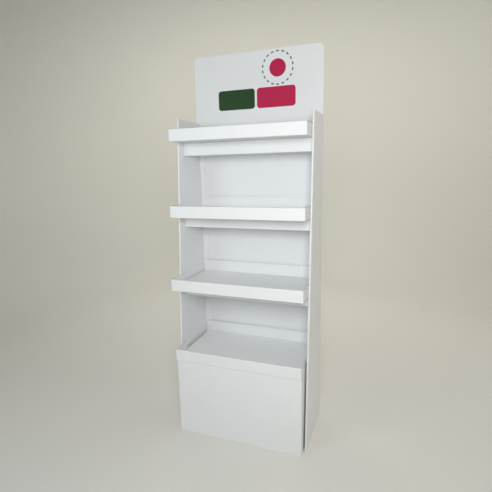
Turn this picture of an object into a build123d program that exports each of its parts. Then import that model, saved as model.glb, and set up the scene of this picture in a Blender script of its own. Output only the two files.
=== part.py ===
from build123d import *
import os

# Cardboard floor display stand, in millimetres. +Z is up and +X is to the stand's right-hand wall as it
# is seen from the front. The origin is on the floor, at the centre of the stand's outer box.

# Driving dimensions: body
STAND_WIDTH = 600.0         # over the outer faces of the two side walls
WALL_HEIGHT = 1404.0        # floor to the tops of the side walls
WALL_DEPTH_FOOT = 298.0     # side wall from front edge to back at the floor
WALL_DEPTH_TOP = 201.0      # the same at the top: the front edges lean back
BASE_PROJECTION = 40.0      # how far the base tray stands in front of the walls' feet
BOARD = 4.0                 # one layer of corrugated board; walls and lips are two layers
FLANGE_WIDTH = 26.0         # glued flanges of the walls' inner layer, on the back panel
FOLD_RADIUS = 0.75 * BOARD  # outside radius of a crease in one layer
ROLL_RADIUS = 0.9 * BOARD   # outside radius where a layer is folded back on itself

# Driving dimensions: header
HEADER_RISE = 289.0         # above the tops of the side walls
HEADER_CORNER_RADIUS = 25.0
TONGUE_DROP = 95.0          # tongue below the tops of the side walls

# Driving dimensions: trays
HANGING_NAMES = ("top", "upper", "lower")
TOP_TRAY_DROP = 49.0        # tops of the walls down to the top tray's lip
BASE_TRAY_LIP_TOP = 400.0   # floor to the top of the base tray's lip
BOTTOM_BAY_EXTRA = 6.0      # the bay over the base tray is taller by this
TRAY_PROJECTION = 88.0      # lips of the three hanging trays in front of the walls' edges
LIP_HEIGHT = 51.0
UPSTAND_HEIGHT = 70.0       # rear panel of a tray, from its underside
WING_OVERLAP = 30.0         # side wings reach this far behind the walls' front edges
INSERT_RISE = 14.0          # height of the shelf inserts that lie in the trays

# Driving dimensions: support beams
SUPPORT_HEIGHT = 55.0
SUPPORT_SETBACK = 38.0      # beam face behind the walls' front edge
TAB_WIDTH = 40.0            # tabs that enter the walls' inner layer
TAB_INSET = 12.0            # from a beam's front or back face to its nearest tab

# Clearances
TRAY_SIDE_GAP = 1.0         # hanging tray to each side wall
BASE_SIDE_GAP = 7.0         # base tray and base box to each side wall
INSERT_GAP = 1.5            # insert to the tray's lip, wings and upstand
REAR_GAP = 0.5              # to whatever stands behind a piece
SUPPORT_END_GAP = 0.5       # beam end to side wall
TAB_GAP = 0.5               # tab to the sides, top and end of its slot
HEADER_REAR_GAP = 0.3       # header to the flanges behind it
TONGUE_SIDE_GAP = 2.0       # tongue to each side wall

MATCH = 0.01                # how near an edge's middle lies to the coordinates it is picked by

# Derived
WALL_THICKNESS = 2 * BOARD
LIP_THICKNESS = 2 * BOARD
HALF_WIDTH = STAND_WIDTH / 2
INNER_HALF = HALF_WIDTH - WALL_THICKNESS
OVERALL_DEPTH = WALL_DEPTH_FOOT + BASE_PROJECTION
BACK_Y = OVERALL_DEPTH / 2
BASE_TRAY_FRONT_Y = -OVERALL_DEPTH / 2
FLANGE_FRONT_Y = BACK_Y - 2 * BOARD
HEADER_BACK_Y = FLANGE_FRONT_Y - HEADER_REAR_GAP
HEADER_FRONT_Y = HEADER_BACK_Y - BOARD
TOP_TRAY_LIP_TOP = WALL_HEIGHT - TOP_TRAY_DROP
TRAY_PITCH = (TOP_TRAY_LIP_TOP - BASE_TRAY_LIP_TOP - BOTTOM_BAY_EXTRA) / len(HANGING_NAMES)
BASE_HEIGHT = BASE_TRAY_LIP_TOP - LIP_HEIGHT
TRAY_HALF = INNER_HALF - TRAY_SIDE_GAP
BASE_HALF = INNER_HALF - BASE_SIDE_GAP

# Height of each hanging tray's lip top, from the top of the stand down
HANGING_TRAYS = {
    name: TOP_TRAY_LIP_TOP - step * TRAY_PITCH for step, name in enumerate(HANGING_NAMES)
}


def wall_front_y(z):
    """The leaning front edge of the side walls at height z."""
    depth = WALL_DEPTH_FOOT + (WALL_DEPTH_TOP - WALL_DEPTH_FOOT) * z / WALL_HEIGHT
    return BACK_Y - depth


def block(x0, x1, y0, y1, z0, z1):
    """A box between two opposite corners."""
    solid = Box(x1 - x0, y1 - y0, z1 - z0)
    return Pos((x0 + x1) / 2, (y0 + y1) / 2, (z0 + z1) / 2) * solid


def edges_at(solid, x=None, y=None, z=None):
    """Straight edges whose middle lies at the coordinates that are given."""
    def fits(edge):
        middle = edge.center()
        wanted = ((middle.X, x), (middle.Y, y), (middle.Z, z))
        return all(value is None or abs(found - value) < MATCH for found, value in wanted)
    return solid.edges().filter_by(fits)


def side_wall(side):
    """One tapered wall of two layers, its front edge rounded where the board is folded back."""
    outline = Polyline(
        (wall_front_y(0), 0),
        (BACK_Y, 0),
        (BACK_Y, WALL_HEIGHT),
        (wall_front_y(WALL_HEIGHT), WALL_HEIGHT),
        close=True,
    )
    inner_x = side * INNER_HALF
    face = Pos(inner_x, 0, 0) * (Plane.YZ * make_face(outline))
    wall = extrude(face, amount=WALL_THICKNESS, dir=(side, 0, 0))
    middle = WALL_HEIGHT / 2
    return fillet(edges_at(wall, y=wall_front_y(middle), z=middle), ROLL_RADIUS)


def body_wrap():
    """Back panel, both side walls and the glued flanges, with slots for the support beams' tabs."""
    body = block(-INNER_HALF, INNER_HALF, BACK_Y - BOARD, BACK_Y, 0, WALL_HEIGHT)
    for side in (-1, 1):
        body += side_wall(side)
        edge_x, inner_x = side * INNER_HALF, side * (INNER_HALF - FLANGE_WIDTH)
        body += block(
            min(edge_x, inner_x), max(edge_x, inner_x), FLANGE_FRONT_Y, BACK_Y - BOARD, 0, WALL_HEIGHT
        )
    for side in (-1, 1):
        body = fillet(edges_at(body, x=side * HALF_WIDTH, y=BACK_Y), FOLD_RADIUS)
    for lip_top in HANGING_TRAYS.values():
        for slot in tab_blocks(lip_top, TAB_GAP, BOARD):
            body -= slot
    return body


def support_span(lip_top):
    """Front and back faces of the beam under the tray whose lip has its top at this height."""
    return wall_front_y(lip_top) + SUPPORT_SETBACK, FLANGE_FRONT_Y - REAR_GAP


def tab_blocks(lip_top, gap, reach):
    """The tabs of a beam's lower panel, or with a gap the slots that they enter."""
    front_y, back_y = support_span(lip_top)
    low_z = lip_top - LIP_HEIGHT - SUPPORT_HEIGHT
    starts = (front_y + TAB_INSET, back_y - TAB_INSET - TAB_WIDTH)
    blocks = []
    for start_y in starts:
        span = (start_y - gap, start_y + TAB_WIDTH + gap, low_z, low_z + BOARD + gap)
        blocks.append(block(-INNER_HALF - reach, -INNER_HALF + BOARD, *span))
        blocks.append(block(INNER_HALF - BOARD, INNER_HALF + reach, *span))
    return blocks


def support(lip_top):
    """Folded box beam from wall to wall: four panels round a hollow, with tabs on the lower panel."""
    front_y, back_y = support_span(lip_top)
    top_z = lip_top - LIP_HEIGHT
    low_z = top_z - SUPPORT_HEIGHT
    half = INNER_HALF - SUPPORT_END_GAP
    beam = block(-half, half, front_y, back_y, low_z, top_z)
    for y in (front_y, back_y):
        for z in (low_z, top_z):
            beam = fillet(edges_at(beam, y=y, z=z), FOLD_RADIUS)
    beam -= block(-half, half, front_y + BOARD, back_y - BOARD, low_z + BOARD, top_z - BOARD)
    for tab in tab_blocks(lip_top, 0, BOARD - TAB_GAP):
        beam += tab
    return beam


def tray(lip_top, front_y, back_y, half):
    """Floor, doubled front lip, short side wings and rear upstand, folded from one sheet."""
    low_z = lip_top - LIP_HEIGHT
    wing_end_y = wall_front_y(lip_top) + WING_OVERLAP
    sheet = block(-half, half, front_y, back_y, low_z, low_z + BOARD)
    sheet += block(-half, half, front_y, front_y + LIP_THICKNESS, low_z, lip_top)
    sheet += block(-half, half, back_y - BOARD, back_y, low_z, low_z + UPSTAND_HEIGHT)
    for side in (-1, 1):
        outer_x, inner_x = side * half, side * (half - BOARD)
        sheet += block(
            min(outer_x, inner_x), max(outer_x, inner_x), front_y, wing_end_y, low_z, lip_top
        )
        sheet = fillet(edges_at(sheet, x=outer_x, y=front_y), FOLD_RADIUS)
    sheet = fillet(edges_at(sheet, x=0, y=front_y, z=low_z), FOLD_RADIUS)
    sheet = fillet(edges_at(sheet, x=0, y=front_y, z=lip_top), ROLL_RADIUS)
    return fillet(edges_at(sheet, x=0, y=back_y, z=low_z), FOLD_RADIUS)


def insert(lip_top, front_y, back_y, half):
    """Raised shelf floor that lies in a tray: a panel with its four edges turned down."""
    low_z = lip_top - LIP_HEIGHT + BOARD
    high_z = low_z + INSERT_RISE
    half_x = half - BOARD - INSERT_GAP
    near_y = front_y + LIP_THICKNESS + INSERT_GAP
    far_y = back_y - BOARD - INSERT_GAP
    panel = block(-half_x, half_x, near_y, far_y, low_z, high_z)
    for x in (-half_x, half_x):
        panel = fillet(edges_at(panel, x=x, z=high_z), FOLD_RADIUS)
    for y in (near_y, far_y):
        panel = fillet(edges_at(panel, x=0, y=y, z=high_z), FOLD_RADIUS)
    return panel - block(
        -half_x + BOARD, half_x - BOARD, near_y + BOARD, far_y - BOARD, low_z, high_z - BOARD
    )


def base_box():
    """Plinth folded as a five-sided box, open at the floor, under the base tray."""
    half = BASE_HALF
    front_y = BASE_TRAY_FRONT_Y + LIP_THICKNESS
    back_y = FLANGE_FRONT_Y - REAR_GAP
    box = block(-half, half, front_y, back_y, 0, BASE_HEIGHT)
    for x in (-half, half):
        for y in (front_y, back_y):
            box = fillet(edges_at(box, x=x, y=y), FOLD_RADIUS)
    return box - block(
        -half + BOARD, half - BOARD, front_y + BOARD, back_y - BOARD, 0, BASE_HEIGHT - BOARD
    )


def header_card():
    """Flat topper: shoulders on the tops of the side walls, a tongue down between them."""
    half = HALF_WIDTH
    tongue_half = INNER_HALF - TONGUE_SIDE_GAP
    top_z = WALL_HEIGHT + HEADER_RISE
    card = block(-half, half, HEADER_FRONT_Y, HEADER_BACK_Y, WALL_HEIGHT, top_z)
    for x in (-half, half):
        card = fillet(edges_at(card, x=x, z=top_z), HEADER_CORNER_RADIUS)
    low_z = WALL_HEIGHT - TONGUE_DROP
    return card + block(
        -tongue_half, tongue_half, HEADER_FRONT_Y, HEADER_BACK_Y, low_z, WALL_HEIGHT
    )


def rear_limit(name):
    """Back face of a tray: the header's tongue stands behind the top one, the flanges behind the rest."""
    return (HEADER_FRONT_Y if name == "top" else FLANGE_FRONT_Y) - REAR_GAP


def main():
    parts = {"body_wrap": body_wrap(), "header_card": header_card(), "base_box": base_box()}
    for name, lip_top in HANGING_TRAYS.items():
        place = (lip_top, wall_front_y(lip_top) - TRAY_PROJECTION, rear_limit(name), TRAY_HALF)
        parts[name + "_tray"] = tray(*place)
        parts[name + "_insert"] = insert(*place)
        parts[name + "_support"] = support(lip_top)
    place = (BASE_TRAY_LIP_TOP, BASE_TRAY_FRONT_Y, rear_limit("base"), BASE_HALF)
    parts["base_tray"] = tray(*place)
    parts["base_insert"] = insert(*place)
    os.makedirs("parts", exist_ok=True)
    for name, solid in parts.items():
        solid.label = name
        export_step(solid, "parts/" + name + ".step")


main()
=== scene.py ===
import math

import bmesh
import bpy
from bpy.props import FloatProperty, FloatVectorProperty, IntProperty, PointerProperty
from mathutils import Matrix, Vector


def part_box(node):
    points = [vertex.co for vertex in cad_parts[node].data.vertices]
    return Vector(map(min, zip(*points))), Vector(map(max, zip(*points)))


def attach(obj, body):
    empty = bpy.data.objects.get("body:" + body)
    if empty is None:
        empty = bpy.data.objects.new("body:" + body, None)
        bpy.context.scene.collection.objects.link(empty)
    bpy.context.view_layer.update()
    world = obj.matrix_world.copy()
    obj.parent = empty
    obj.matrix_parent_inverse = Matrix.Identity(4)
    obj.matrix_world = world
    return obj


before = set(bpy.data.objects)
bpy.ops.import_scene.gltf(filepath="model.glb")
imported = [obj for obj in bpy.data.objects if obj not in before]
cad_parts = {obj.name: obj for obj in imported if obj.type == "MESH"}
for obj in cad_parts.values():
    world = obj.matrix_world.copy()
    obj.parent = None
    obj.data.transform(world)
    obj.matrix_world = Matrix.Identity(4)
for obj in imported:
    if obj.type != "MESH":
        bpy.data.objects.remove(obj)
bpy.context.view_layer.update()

bl_info = {
    "name": "Cardboard Display Stand",
    "version": (1, 0, 0),
    "blender": (4, 5, 0),
    "location": "View3D > Sidebar > Display Stand",
    "description": "Finishes the sheets of a corrugated display stand and sets its studio",
    "category": "Object",
}

MM = 0.001
BODY = "root"

# The stand's sheets, as they are built
BOARD = 4 * MM
LIP_HEIGHT = 51 * MM
WING_OVERLAP = 30 * MM          # a tray's wings end this far behind the walls' front edge
HEADER_CORNER = 25 * MM

# Cut edges: two liners with the fluted paper between them
PROUD = 0.15 * MM               # cut edges and ink stand this far out of the board's faces
LINER_PAPER = 0.45 * MM
FLUTE_PAPER = 0.35 * MM
FLUTE_STEPS = 8                 # straight pieces in one drawn wave

# The header's print, from the header's top edge and its middle
FIELDS_DROP = 241 * MM          # to the lower edge of the two fields
FIELDS_MIDDLE_X = -1 * MM
FIELD_GAP = 10 * MM
FIELD_CORNER = 14 * MM
DISC_X, DISC_DROP = 100 * MM, 79 * MM
MARK_LENGTH, MARK_HEIGHT, MARK_CORNER = 13 * MM, 6.4 * MM, 2.4 * MM

# Sizes of the materials' patterns
TONE_PATCH = 200 * MM           # slightly greyer areas of the liner
SAG_PATCH, SAG_HEIGHT = 250 * MM, 9 * MM
TOOTH_SIZE, TOOTH_HEIGHT = 1.429 * MM, 0.05 * MM    # real tooth is finer than would show
FIBRE_SIZE, FIBRE_HEIGHT = 0.667 * MM, 0.1 * MM     # real fibres are finer than would show
MOTTLE_SIZE = 11.11 * MM        # uneven patches of ink
PAPER_CLOUD = 833 * MM          # clouding of the backdrop

# Soft boxes: name, place, target, width, height, the setting with the power, colour
STAND_MIDDLE = (0, 0, 1.0)
SOFT_BOXES = (
    ("near_light", (0.6, -1.55, 1.34), STAND_MIDDLE, 0.4, 0.5, "near_watts", "#FDFEFF"),
    ("left_light", (-1.2, -1.9, 1.5), STAND_MIDDLE, 1.0, 1.2, "left_watts", "#E0F3FF"),
    ("right_light", (2.2, -0.2, 1.3), STAND_MIDDLE, 1.6, 2.0, "right_watts", "#FFFBF6"),
    ("rear_left_light", (-1.6, 1.8, 1.9), STAND_MIDDLE, 1.4, 1.4, "rear_watts", "#FFFDFA"),
    ("rear_right_light", (1.6, 1.8, 1.9), STAND_MIDDLE, 1.4, 1.4, "rear_watts", "#FFFDFA"),
    ("wall_light", (-0.3, 1.2, 2.6), (-0.4, 3.5, 0.9), 2.0, 1.0, "wall_watts", "#FFFCF6"),
)
AMBIENT_COLOUR = "#F6F8FB"

# Camera: where it stands, and its turn to the left, tilt down and roll in degrees
CAMERA_PLACE = (0.6109, -1.6153, 1.1816)
CAMERA_YAW, CAMERA_PITCH, CAMERA_ROLL = 20.815, 10.753, -1.191
SENSOR_WIDTH = 36               # mm

TRAYS = ("top_tray", "upper_tray", "lower_tray", "base_tray")
INSERTS = ("top_insert", "upper_insert", "lower_insert", "base_insert")
SUPPORTS = ("top_support", "upper_support", "lower_support")
QUARTER_TURN = math.pi / 2


def linear(hex_colour):
    """An sRGB hex colour as linear values with alpha."""
    values = [int(hex_colour[i:i + 2], 16) / 255 for i in (1, 3, 5)]
    values = [v / 12.92 if v <= 0.04045 else ((v + 0.055) / 1.055) ** 2.4 for v in values]
    return (*values, 1.0)


def scaled(colour, factor, lift=0.0):
    """A linear colour made lighter or darker, with its alpha left at 1."""
    return (*(min(1.0, factor * c + lift) for c in colour[:3]), 1.0)


# ---------------------------------------------------------------- settings

class BoardSettings(bpy.types.PropertyGroup):
    """Colours and flute sizes of the corrugated board."""
    liner: FloatVectorProperty(
        name="Liner", description="White coated outer liner", subtype="COLOR", size=4,
        min=0, max=1, default=linear("#EFF0F1"))
    liner_shade: FloatVectorProperty(
        name="Liner shade", description="Slightly greyer areas of the liner", subtype="COLOR",
        size=4, min=0, max=1, default=linear("#E9EAEB"))
    # painted light: the inserts' upward faces get a brighter, warmer copy of the liner for the
    # light that falls on the shelves
    shelf_liner_painted_light: FloatVectorProperty(
        name="Shelf liner", description="Brighter liner of the inserts", subtype="COLOR", size=4,
        min=0, max=1, default=linear("#F8F7F5"))
    core: FloatVectorProperty(
        name="Core", description="Paper of the flutes, seen at cut edges", subtype="COLOR", size=4,
        min=0, max=1, default=linear("#E3DFD6"))
    # painted shade: a darker copy of the cut paper, standing in for the shade inside the open
    # flutes
    hollow: FloatVectorProperty(
        name="Painted flute shade", description="The shaded inside of the open flutes", subtype="COLOR",
        size=4, min=0, max=1, default=linear("#8E877B"))
    flute_pitch: FloatProperty(
        name="Flute pitch", description="Distance from one flute to the next", unit="LENGTH",
        default=7.9 * MM, min=2 * MM)
    washboard: FloatProperty(
        name="Washboard", description="How far the flutes print through the liner", unit="LENGTH",
        default=0.05 * MM, min=0)


class PrintSettings(bpy.types.PropertyGroup):
    """Colours and sizes of the plain fields printed on the header."""
    green: FloatVectorProperty(
        name="Green field", description="Ink of the left field", subtype="COLOR", size=4,
        min=0, max=1, default=linear("#163A0D"))
    crimson: FloatVectorProperty(
        name="Crimson field", description="Ink of the right field and the disc", subtype="COLOR",
        size=4, min=0, max=1, default=linear("#B40E45"))
    grey: FloatVectorProperty(
        name="Grey marks", description="Ink of the ring of marks", subtype="COLOR", size=4,
        min=0, max=1, default=linear("#6E7574"))
    field_width: FloatProperty(
        name="Field width", description="Width of each of the two fields", unit="LENGTH",
        default=176 * MM)
    field_height: FloatProperty(
        name="Field height", description="Height of the two fields", unit="LENGTH",
        default=86 * MM)
    disc_radius: FloatProperty(
        name="Disc radius", description="Radius of the crimson disc", unit="LENGTH",
        default=37 * MM)
    ring_radius: FloatProperty(
        name="Ring radius", description="Radius of the ring of marks", unit="LENGTH",
        default=68 * MM)
    ring_marks: IntProperty(
        name="Ring marks", description="How many marks the ring has", default=18, min=3)


class StudioSettings(bpy.types.PropertyGroup):
    """Backdrop, lights and camera."""
    backdrop: FloatVectorProperty(
        name="Backdrop", description="Paper of the floor and backdrop", subtype="COLOR", size=4,
        min=0, max=1, default=linear("#ECEAE3"))
    near_watts: FloatProperty(
        name="Near light", description="Power of the soft box beside the camera", unit="POWER",
        default=16.4)
    left_watts: FloatProperty(
        name="Left light", description="Power of the large soft box at the front left",
        unit="POWER", default=10.2)
    right_watts: FloatProperty(
        name="Right light", description="Power of the large soft box at the right",
        unit="POWER", default=7.2)
    rear_watts: FloatProperty(
        name="Rear lights", description="Power of each of the two soft boxes behind the stand",
        unit="POWER", default=5.0)
    wall_watts: FloatProperty(
        name="Wall light", description="Power of the soft box that lights the wall",
        unit="POWER", default=27.0)
    ambient: FloatProperty(
        name="Ambient", description="Brightness of the light from all around", default=0.12,
        min=0)
    lens: FloatProperty(
        name="Lens", description="Focal length in millimetres", default=29.24, min=1)


# ---------------------------------------------------------------- modelling helpers

def deselect():
    """Leaves edit mode and deselects every object."""
    if bpy.context.object and bpy.context.object.mode != "OBJECT":
        bpy.ops.object.mode_set(mode="OBJECT")
    bpy.ops.object.select_all(action="DESELECT")


def edit_mesh(select="SELECT"):
    """Enters edit mode on the active object with everything selected, or nothing."""
    bpy.ops.object.mode_set(mode="EDIT")
    bpy.ops.mesh.select_mode(type="VERT")
    bpy.ops.mesh.select_all(action=select)


def leave_edit():
    """Turns all faces outwards and goes back to object mode."""
    bpy.ops.mesh.select_all(action="SELECT")
    bpy.ops.mesh.normals_make_consistent(inside=False)
    bpy.ops.object.mode_set(mode="OBJECT")


def finished(name):
    """The active object, named, with its place, turn and scale put into its mesh."""
    bpy.ops.object.transform_apply(location=True, rotation=True, scale=True)
    piece = bpy.context.object
    piece.name = name
    return piece


def block(name, low, high):
    """A box between two corners, from a cube that is resized in edit mode."""
    deselect()
    low, high = Vector(low), Vector(high)
    middle = (low + high) / 2
    bpy.ops.mesh.primitive_cube_add(size=1, location=middle)
    edit_mesh()
    bpy.ops.transform.resize(value=high - low, center_override=middle)
    leave_edit()
    return finished(name)


def join(name, pieces):
    """Several pieces made into one object."""
    deselect()
    for piece in pieces:
        piece.select_set(True)
    bpy.context.view_layer.objects.active = pieces[0]
    bpy.ops.object.join()
    return finished(name)


def dress(piece, *materials):
    """Gives a piece its materials, in slot order."""
    piece.data.materials.clear()
    for material in materials:
        piece.data.materials.append(material)


def settle(piece, slot, *materials):
    """The last steps for a new piece: its materials and body. The slot argument is not used."""
    dress(piece, *materials)
    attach(piece, BODY)


# ---------------------------------------------------------------- materials

def add_node(tree, kind, settings=None, **inputs):
    """Adds a node, sets its options, and sets or links each input that is named."""
    node = tree.nodes.new(kind)
    for key, value in (settings or {}).items():
        setattr(node, key, value)
    for key, value in inputs.items():
        socket = node.inputs[int(key[1:])] if key[0] == "_" else node.inputs[key.replace("_", " ")]
        if isinstance(value, bpy.types.NodeSocket):
            tree.links.new(value, socket)
        else:
            socket.default_value = value
    return node


def new_material(name):
    """An empty material and its node tree."""
    material = bpy.data.materials.new(name)
    material.use_nodes = True
    material.node_tree.nodes.clear()
    return material, material.node_tree


def wave_scale(pitch):
    """Scale of a wave texture with bands this far apart. Its phase is 20 x scale x distance."""
    return 2 * math.pi / (20 * pitch)


def patches(tree, place, size, **inputs):
    """The grey value of a noise texture whose features are about this large."""
    noise = add_node(tree, "ShaderNodeTexNoise", Vector=place, Scale=1 / size, **inputs)
    return noise.outputs["Fac"]


def upright_flutes(tree, place, pitch):
    """The height of upright flutes, which repeat along X on fronts and along Y on sides."""
    waves = [add_node(tree, "ShaderNodeTexWave", {"bands_direction": axis}, Vector=place,
                      Scale=wave_scale(pitch), Distortion=0.0).outputs["Fac"] for axis in "XY"]
    facing = add_node(tree, "ShaderNodeSeparateXYZ",
                      Vector=add_node(tree, "ShaderNodeTexCoord").outputs["Normal"])
    sideways = add_node(tree, "ShaderNodeMath", {"operation": "ABSOLUTE"}, _0=facing.outputs["X"])
    height = add_node(tree, "ShaderNodeMix", {"data_type": "FLOAT"}, Factor=sideways.outputs[0],
                      _2=waves[0], _3=waves[1])
    return height.outputs[0]


def coated_board(name, liner, liner_shade, upright=True):
    """White clay-coated liner on corrugated board, laminated and die-cut. To the eye it has a soft
    sheen, flutes that just show through, sheets that are never quite flat, and a paper's tooth."""
    board = bpy.context.scene.stand_board
    material, tree = new_material(name)
    place = add_node(tree, "ShaderNodeTexCoord").outputs["Object"]
    cloud = patches(tree, place, TONE_PATCH, Detail=3.0, Roughness=0.5)
    tone = add_node(tree, "ShaderNodeMix", {"data_type": "RGBA"}, Factor=cloud,
                    _6=liner, _7=liner_shade)
    sag = patches(tree, place, SAG_PATCH, Detail=1.0, Roughness=0.4)
    if upright:
        flute = upright_flutes(tree, place, board.flute_pitch)
    else:
        flute = add_node(tree, "ShaderNodeTexWave", {"bands_direction": "Z"}, Vector=place,
                         Scale=wave_scale(board.flute_pitch), Distortion=0.0).outputs["Fac"]
    tooth = patches(tree, place, TOOTH_SIZE, Detail=2.0)
    bend = add_node(tree, "ShaderNodeBump", Height=sag, Strength=0.5, Distance=SAG_HEIGHT)
    ribs = add_node(tree, "ShaderNodeBump", Height=flute, Strength=0.5, Distance=board.washboard,
                    Normal=bend.outputs["Normal"])
    skin = add_node(tree, "ShaderNodeBump", Height=tooth, Strength=0.25, Distance=TOOTH_HEIGHT,
                    Normal=ribs.outputs["Normal"])
    shader = add_node(tree, "ShaderNodeBsdfPrincipled", Base_Color=tone.outputs[2],
                      Normal=skin.outputs["Normal"], Roughness=0.48, IOR=1.5)
    add_node(tree, "ShaderNodeOutputMaterial", Surface=shader.outputs["BSDF"])
    return material


def cut_paper(name, colour):
    """Uncoated paper of the flutes and liners where the die has cut them, matt and fibrous. In a
    darker colour it is also the painted shade inside the open flutes.
    """
    material, tree = new_material(name)
    place = add_node(tree, "ShaderNodeTexCoord").outputs["Object"]
    fibre = patches(tree, place, FIBRE_SIZE, Detail=3.0)
    tone = add_node(tree, "ShaderNodeMix", {"data_type": "RGBA"}, Factor=fibre,
                    _6=colour, _7=scaled(colour, 0.82))
    fuzz = add_node(tree, "ShaderNodeBump", Height=fibre, Strength=0.4, Distance=FIBRE_HEIGHT)
    shader = add_node(tree, "ShaderNodeBsdfPrincipled", Base_Color=tone.outputs[2],
                      Normal=fuzz.outputs["Normal"], Roughness=0.85, IOR=1.45)
    add_node(tree, "ShaderNodeOutputMaterial", Surface=shader.outputs["BSDF"])
    return material


def offset_ink(name, colour):
    """Offset ink on the coated liner, even and deep, half matt, faintly mottled by the flutes."""
    board = bpy.context.scene.stand_board
    material, tree = new_material(name)
    place = add_node(tree, "ShaderNodeTexCoord").outputs["Object"]
    mottle = patches(tree, place, MOTTLE_SIZE, Detail=4.0)
    tone = add_node(tree, "ShaderNodeMix", {"data_type": "RGBA"}, Factor=mottle,
                    _6=colour, _7=scaled(colour, 1.25, 0.004))
    flute = add_node(tree, "ShaderNodeTexWave", {"bands_direction": "X"}, Vector=place,
                     Scale=wave_scale(board.flute_pitch), Distortion=0.0)
    ribs = add_node(tree, "ShaderNodeBump", Height=flute.outputs["Fac"], Strength=0.5,
                    Distance=board.washboard)
    shader = add_node(tree, "ShaderNodeBsdfPrincipled", Base_Color=tone.outputs[2], Roughness=0.45,
                      Normal=ribs.outputs["Normal"], IOR=1.5, Specular_IOR_Level=0.3)
    add_node(tree, "ShaderNodeOutputMaterial", Surface=shader.outputs["BSDF"])
    return material


def backdrop_paper(name):
    """Seamless studio paper, rolled and uncoated: matt, with the faintest clouding."""
    studio = bpy.context.scene.stand_studio
    material, tree = new_material(name)
    place = add_node(tree, "ShaderNodeTexCoord").outputs["Object"]
    cloud = patches(tree, place, PAPER_CLOUD, Detail=2.0)
    tone = add_node(tree, "ShaderNodeMix", {"data_type": "RGBA"}, Factor=cloud,
                    _6=studio.backdrop, _7=scaled(studio.backdrop, 0.97))
    shader = add_node(tree, "ShaderNodeBsdfPrincipled", Base_Color=tone.outputs[2], Roughness=0.9)
    add_node(tree, "ShaderNodeOutputMaterial", Surface=shader.outputs["BSDF"])
    return material


# ---------------------------------------------------------------- the board's sheets

class STAND_OT_finish_sheets(bpy.types.Operator):
    """Give each folded sheet of the stand its coated board, with the flutes the right way round"""
    bl_idname = "stand.finish_sheets"
    bl_label = "Finish Sheets"

    def execute(self, context):
        board = context.scene.stand_board
        upright = coated_board(
            "White coated board, upright flutes", board.liner, board.liner_shade)
        beam = coated_board(
            "White coated board, lengthwise flutes", board.liner, board.liner_shade, upright=False)
        # the inserts' board is painted lighter than the walls' board, for the light that falls on
        # the shelves' upward faces
        shelf = coated_board("Bright shelf board", board.shelf_liner_painted_light, board.liner)
        for name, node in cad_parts.items():
            dress(node, shelf if name in INSERTS else beam if name in SUPPORTS else upright)
        return {"FINISHED"}


def flute_wave(pitch, depth):
    """One wave of the fluted paper, seen from its cut end and as thick as the edge stands proud."""
    deselect()
    bpy.ops.mesh.primitive_grid_add(x_subdivisions=FLUTE_STEPS, y_subdivisions=1, size=1)
    edit_mesh()
    bpy.ops.transform.resize(value=(pitch, FLUTE_PAPER, 1), center_override=(0, 0, 0))
    mesh = bmesh.from_edit_mesh(bpy.context.object.data)
    for vert in mesh.verts:
        vert.co.y += (depth / 2 - FLUTE_PAPER) * math.sin(2 * math.pi * vert.co.x / pitch)
    bmesh.update_edit_mesh(bpy.context.object.data)
    bpy.ops.mesh.extrude_region_move(TRANSFORM_OT_translate={"value": (0, 0, PROUD)})
    leave_edit()
    return bpy.context.object


def cut_edge(name, length, turn, middle, papers):
    """A cut edge that shows the flutes: two liners, the waves between them and, beneath the waves,
    a dark sheet of painted shade for the inside of the open flutes.
    It is built along X at the origin, then turned and moved onto the sheet's edge. The papers are
    the material of the liners and waves, and that of the painted shade."""
    pitch = bpy.context.scene.stand_board.flute_pitch
    half, deep = length / 2, BOARD / 2
    inner = deep - LINER_PAPER
    wave = flute_wave(pitch, 2 * inner)
    count = math.ceil(length / pitch) + 1
    repeat = wave.modifiers.new("repeat", "ARRAY")
    repeat.use_relative_offset = False
    repeat.use_constant_offset = True
    repeat.constant_offset_displace = (pitch, 0, 0)
    repeat.count = count
    bpy.ops.object.modifier_apply(modifier="repeat")
    edit_mesh()
    bpy.ops.transform.translate(value=(-(count - 1) * pitch / 2, 0, 0))
    for end in (1, -1):
        bpy.ops.mesh.select_all(action="SELECT")
        bpy.ops.mesh.bisect(
            plane_co=(end * half, 0, 0), plane_no=(end, 0, 0), clear_outer=True, use_fill=True)
    leave_edit()
    near = block("near liner", (-half, -deep, 0), (half, -inner, PROUD))
    far = block("far liner", (-half, inner, 0), (half, deep, PROUD))
    # a thin dark sheet under the waves: painted shade for the inside of the open flutes
    hollow = block("hollow", (-half, -inner, 0), (half, inner, PROUD / 3))
    for piece, index in ((wave, 0), (near, 0), (far, 0), (hollow, 1)):
        dress(piece, *papers)
        for face in piece.data.polygons:
            face.material_index = index
    edge = join(name, [wave, near, far, hollow])
    edge.matrix_world = Matrix.Translation(middle) @ Matrix.Rotation(turn, 4, "Z")
    deselect()
    edge.select_set(True)
    bpy.context.view_layer.objects.active = edge
    bpy.ops.object.transform_apply(location=True, rotation=True, scale=True)
    return edge


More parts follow.
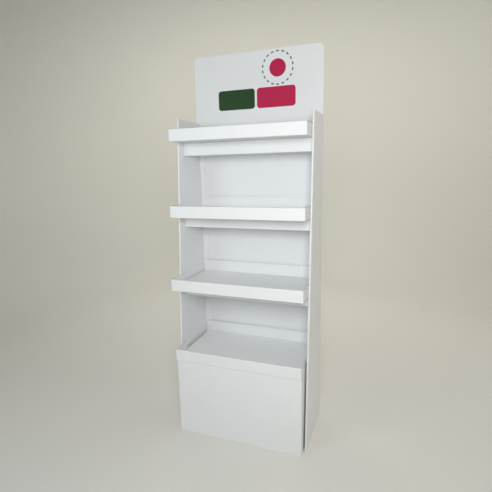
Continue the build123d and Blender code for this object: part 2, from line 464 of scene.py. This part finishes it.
class STAND_OT_cut_edges(bpy.types.Operator):
    """Show the open flutes along the sheets' cut upper edges"""
    bl_idname = "stand.cut_edges"
    bl_label = "Cut Edges"

    def execute(self, context):
        board = context.scene.stand_board
        # the second paper is painted shade for the inside of the open flutes
        papers = (cut_paper("Cut liner and fluting paper", board.core),
                  cut_paper("Hollow of the open flutes", board.hollow))
        walls = []
        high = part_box("body_wrap")[1]
        front = self.wall_front(high.z)
        for side in (-1, 1):
            for layer in (0.5, 1.5):
                x = side * (high.x - layer * BOARD)
                middle = Vector((x, (front + high.y) / 2 + BOARD, high.z))
                length = high.y - front - 3 * BOARD
                walls.append(cut_edge("edge", length, QUARTER_TURN, middle, papers))
        back = Vector((0, high.y - BOARD / 2, high.z))
        walls.append(cut_edge("edge", 2 * high.x - 4 * BOARD, 0, back, papers))
        settle(join("wall_cut_edges", walls), "wall_board", *papers)

        low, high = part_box("header_card")
        top = Vector((0, (low.y + high.y) / 2, high.z))
        edge = cut_edge("header_cut_edge", 2 * (high.x - HEADER_CORNER), 0, top, papers)
        settle(edge, "header_board", *papers)

        for name in TRAYS:
            low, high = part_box(name)
            lip_top = low.z + LIP_HEIGHT
            rear = Vector((0, high.y - BOARD / 2, high.z))
            edges = [cut_edge("edge", high.x - low.x - BOARD, 0, rear, papers)]
            start, end = low.y + 2 * BOARD, self.wall_front(lip_top) + WING_OVERLAP
            for side in (-1, 1):
                middle = Vector((side * (high.x - BOARD / 2), (start + end) / 2, lip_top))
                edges.append(cut_edge("edge", end - start, QUARTER_TURN, middle, papers))
            settle(join(name + "_cut_edges", edges), "tray_board", *papers)
        return {"FINISHED"}

    @staticmethod
    def wall_front(z):
        """Y of the side walls' leaning front edge at a height, from the corners of their mesh."""
        corners = [v.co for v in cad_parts["body_wrap"].data.vertices]
        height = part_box("body_wrap")[1].z
        foot = min(corner.y for corner in corners if corner.z < MM)
        head = min(corner.y for corner in corners if corner.z > height - MM)
        return foot + (head - foot) * z / height


# ---------------------------------------------------------------- the header's print

def rounded_field(name, low, high, radius, face_y):
    """A flat field of ink with round corners on the header's front face."""
    deselect()
    middle = Vector(((low[0] + high[0]) / 2, face_y, (low[1] + high[1]) / 2))
    bpy.ops.mesh.primitive_plane_add(size=1, location=middle)
    edit_mesh()
    bpy.ops.transform.resize(value=(high[0] - low[0], high[1] - low[1], 1), center_override=middle)
    bpy.ops.mesh.bevel(offset=radius, segments=10, affect="VERTICES", offset_type="OFFSET")
    bpy.ops.mesh.select_all(action="SELECT")
    bpy.ops.transform.rotate(value=-QUARTER_TURN, orient_axis="X", center_override=middle)
    bpy.ops.mesh.extrude_region_move(TRANSFORM_OT_translate={"value": (0, -PROUD, 0)})
    leave_edit()
    return finished(name)


def round_spot(name, x, z, radius, face_y):
    """A flat round spot of ink on the header's front face."""
    deselect()
    middle = Vector((x, face_y, z))
    bpy.ops.mesh.primitive_circle_add(
        vertices=72, radius=radius, fill_type="NGON", location=middle,
        rotation=(QUARTER_TURN, 0, 0))
    edit_mesh()
    bpy.ops.mesh.extrude_region_move(TRANSFORM_OT_translate={"value": (0, -PROUD, 0)})
    leave_edit()
    return finished(name)


def turned_copy(piece, angle, middle):
    """A copy of a flat piece with its own mesh, turned about an axis along Y."""
    copy = piece.copy()
    copy.data = piece.data.copy()
    bpy.context.collection.objects.link(copy)
    turn = Matrix.Rotation(angle, 4, "Y")
    copy.data.transform(Matrix.Translation(middle) @ turn @ Matrix.Translation(-middle))
    return copy


class STAND_OT_header_print(bpy.types.Operator):
    """Print two plain fields and a ringed disc on the header"""
    bl_idname = "stand.header_print"
    bl_label = "Header Print"

    def execute(self, context):
        ink = context.scene.stand_print
        low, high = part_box("header_card")
        face_y = low.y
        red = offset_ink("Crimson offset ink", ink.crimson)
        green = offset_ink("Dark green offset ink", ink.green)
        base_z = high.z - FIELDS_DROP
        for name, start, colour in (
                ("print_green", FIELDS_MIDDLE_X - FIELD_GAP / 2 - ink.field_width, green),
                ("print_crimson", FIELDS_MIDDLE_X + FIELD_GAP / 2, red)):
            field = rounded_field(
                name, (start, base_z), (start + ink.field_width, base_z + ink.field_height),
                FIELD_CORNER, face_y)
            settle(field, "header_board", colour)
        middle = Vector((DISC_X, face_y, high.z - DISC_DROP))
        spot = round_spot("print_disc", middle.x, middle.z, ink.disc_radius, face_y)
        settle(spot, "header_board", red)
        mark_z = middle.z + ink.ring_radius
        first = rounded_field(
            "mark", (middle.x - MARK_LENGTH / 2, mark_z - MARK_HEIGHT / 2),
            (middle.x + MARK_LENGTH / 2, mark_z + MARK_HEIGHT / 2), MARK_CORNER, face_y)
        step = 2 * math.pi / ink.ring_marks
        marks = [first] + [turned_copy(first, i * step, middle) for i in range(1, ink.ring_marks)]
        grey = offset_ink("Grey offset ink", ink.grey)
        settle(join("print_ring", marks), "header_board", grey)
        return {"FINISHED"}


# ---------------------------------------------------------------- studio

def cyclorama():
    """Floor and wall in one sheet all the way round: a disc whose rim is drawn up in a bend."""
    floor_radius, rim, bend, rise, steps = 2.4, 0.06, 1.1, 5.0, 14
    deselect()
    bpy.ops.mesh.primitive_circle_add(vertices=96, radius=floor_radius, fill_type="NGON")
    edit_mesh()
    bpy.ops.mesh.inset(thickness=rim)
    bpy.ops.mesh.select_mode(type="EDGE")
    bpy.ops.mesh.select_all(action="DESELECT")
    mesh = bmesh.from_edit_mesh(bpy.context.object.data)
    for edge in mesh.edges:
        edge.select_set(edge.is_boundary)
    bmesh.update_edit_mesh(bpy.context.object.data)
    radius, height = floor_radius, 0
    for step in range(1, steps + 1):
        angle = QUARTER_TURN * step / steps
        wider, higher = floor_radius + bend * math.sin(angle), bend * (1 - math.cos(angle))
        bpy.ops.mesh.extrude_edges_move(TRANSFORM_OT_translate={"value": (0, 0, higher - height)})
        bpy.ops.transform.resize(
            value=(wider / radius, wider / radius, 1), center_override=(0, 0, 0))
        radius, height = wider, higher
    bpy.ops.mesh.extrude_edges_move(TRANSFORM_OT_translate={"value": (0, 0, rise)})
    bpy.ops.mesh.select_all(action="SELECT")
    bpy.ops.mesh.normals_make_consistent(inside=True)
    bpy.ops.object.mode_set(mode="OBJECT")
    piece = bpy.context.object
    piece.name = "cyclorama"
    bpy.ops.object.shade_smooth()
    return piece


def soft_box(name, place, target, width, height, watts, colour):
    """One soft box: an area light at a place, pointed at a target."""
    deselect()
    bpy.ops.object.light_add(type="AREA", location=place)
    light = bpy.context.object
    light.name = name
    light.data.shape = "RECTANGLE"
    light.data.size = width
    light.data.size_y = height
    light.data.energy = watts
    light.data.color = linear(colour)[:3]
    light.visible_camera = False
    direction = Vector(target) - Vector(place)
    light.rotation_euler = direction.to_track_quat("-Z", "Y").to_euler()


class STAND_OT_studio(bpy.types.Operator):
    """Set the seamless backdrop, the soft boxes and the camera"""
    bl_idname = "stand.studio"
    bl_label = "Studio"

    def execute(self, context):
        studio = context.scene.stand_studio
        backdrop = cyclorama()
        dress(backdrop, backdrop_paper("Seamless studio paper"))

        for name, place, target, width, height, power, colour in SOFT_BOXES:
            soft_box(name, place, target, width, height, getattr(studio, power), colour)
        world = bpy.data.worlds.new("dim_studio")
        world.use_nodes = True
        background = world.node_tree.nodes["Background"].inputs
        background["Color"].default_value = linear(AMBIENT_COLOUR)
        background["Strength"].default_value = studio.ambient
        context.scene.world = world
        context.scene.view_settings.view_transform = "Standard"

        bpy.ops.object.camera_add()
        camera = context.object
        camera.name = "camera"
        camera.data.lens = studio.lens
        camera.data.sensor_width = SENSOR_WIDTH
        self.place_camera(camera)
        context.scene.camera = camera
        deselect()
        return {"FINISHED"}

    @staticmethod
    def place_camera(camera):
        """Beside the stand's right-hand wall, at chest height, looking slightly down."""
        yaw, pitch, roll = (math.radians(a) for a in (CAMERA_YAW, CAMERA_PITCH, CAMERA_ROLL))
        turn = Matrix.Rotation(yaw, 4, "Z") @ Matrix.Rotation(QUARTER_TURN - pitch, 4, "X")
        turn = turn @ Matrix.Rotation(roll, 4, "Z")
        camera.matrix_world = Matrix.Translation(CAMERA_PLACE) @ turn


class STAND_PT_panel(bpy.types.Panel):
    """The stand's tools and settings"""
    bl_label = "Display Stand"
    bl_idname = "STAND_PT_panel"
    bl_space_type = "VIEW_3D"
    bl_region_type = "UI"
    bl_category = "Display Stand"

    def draw(self, context):
        layout = self.layout
        for operator in STEPS:
            layout.operator(operator)
        for name in SETTINGS:
            group = getattr(context.scene, name)
            box = layout.box()
            for key in group.bl_rna.properties.keys():
                if key not in ("rna_type", "name"):
                    box.prop(group, key)


SETTINGS = {
    "stand_board": BoardSettings,
    "stand_print": PrintSettings,
    "stand_studio": StudioSettings,
}
STEPS = ("stand.studio", "stand.finish_sheets", "stand.cut_edges", "stand.header_print")
CLASSES = (
    BoardSettings, PrintSettings, StudioSettings, STAND_OT_finish_sheets, STAND_OT_cut_edges,
    STAND_OT_header_print, STAND_OT_studio, STAND_PT_panel,
)


def register():
    for cls in CLASSES:
        bpy.utils.register_class(cls)
    for name, cls in SETTINGS.items():
        setattr(bpy.types.Scene, name, PointerProperty(type=cls))


def unregister():
    for name in SETTINGS:
        delattr(bpy.types.Scene, name)
    for cls in reversed(CLASSES):
        bpy.utils.unregister_class(cls)


def main():
    register()
    bpy.ops.stand.studio()
    bpy.ops.stand.finish_sheets()
    bpy.ops.stand.cut_edges()
    bpy.ops.stand.header_print()


if __name__ == "__main__":
    main()
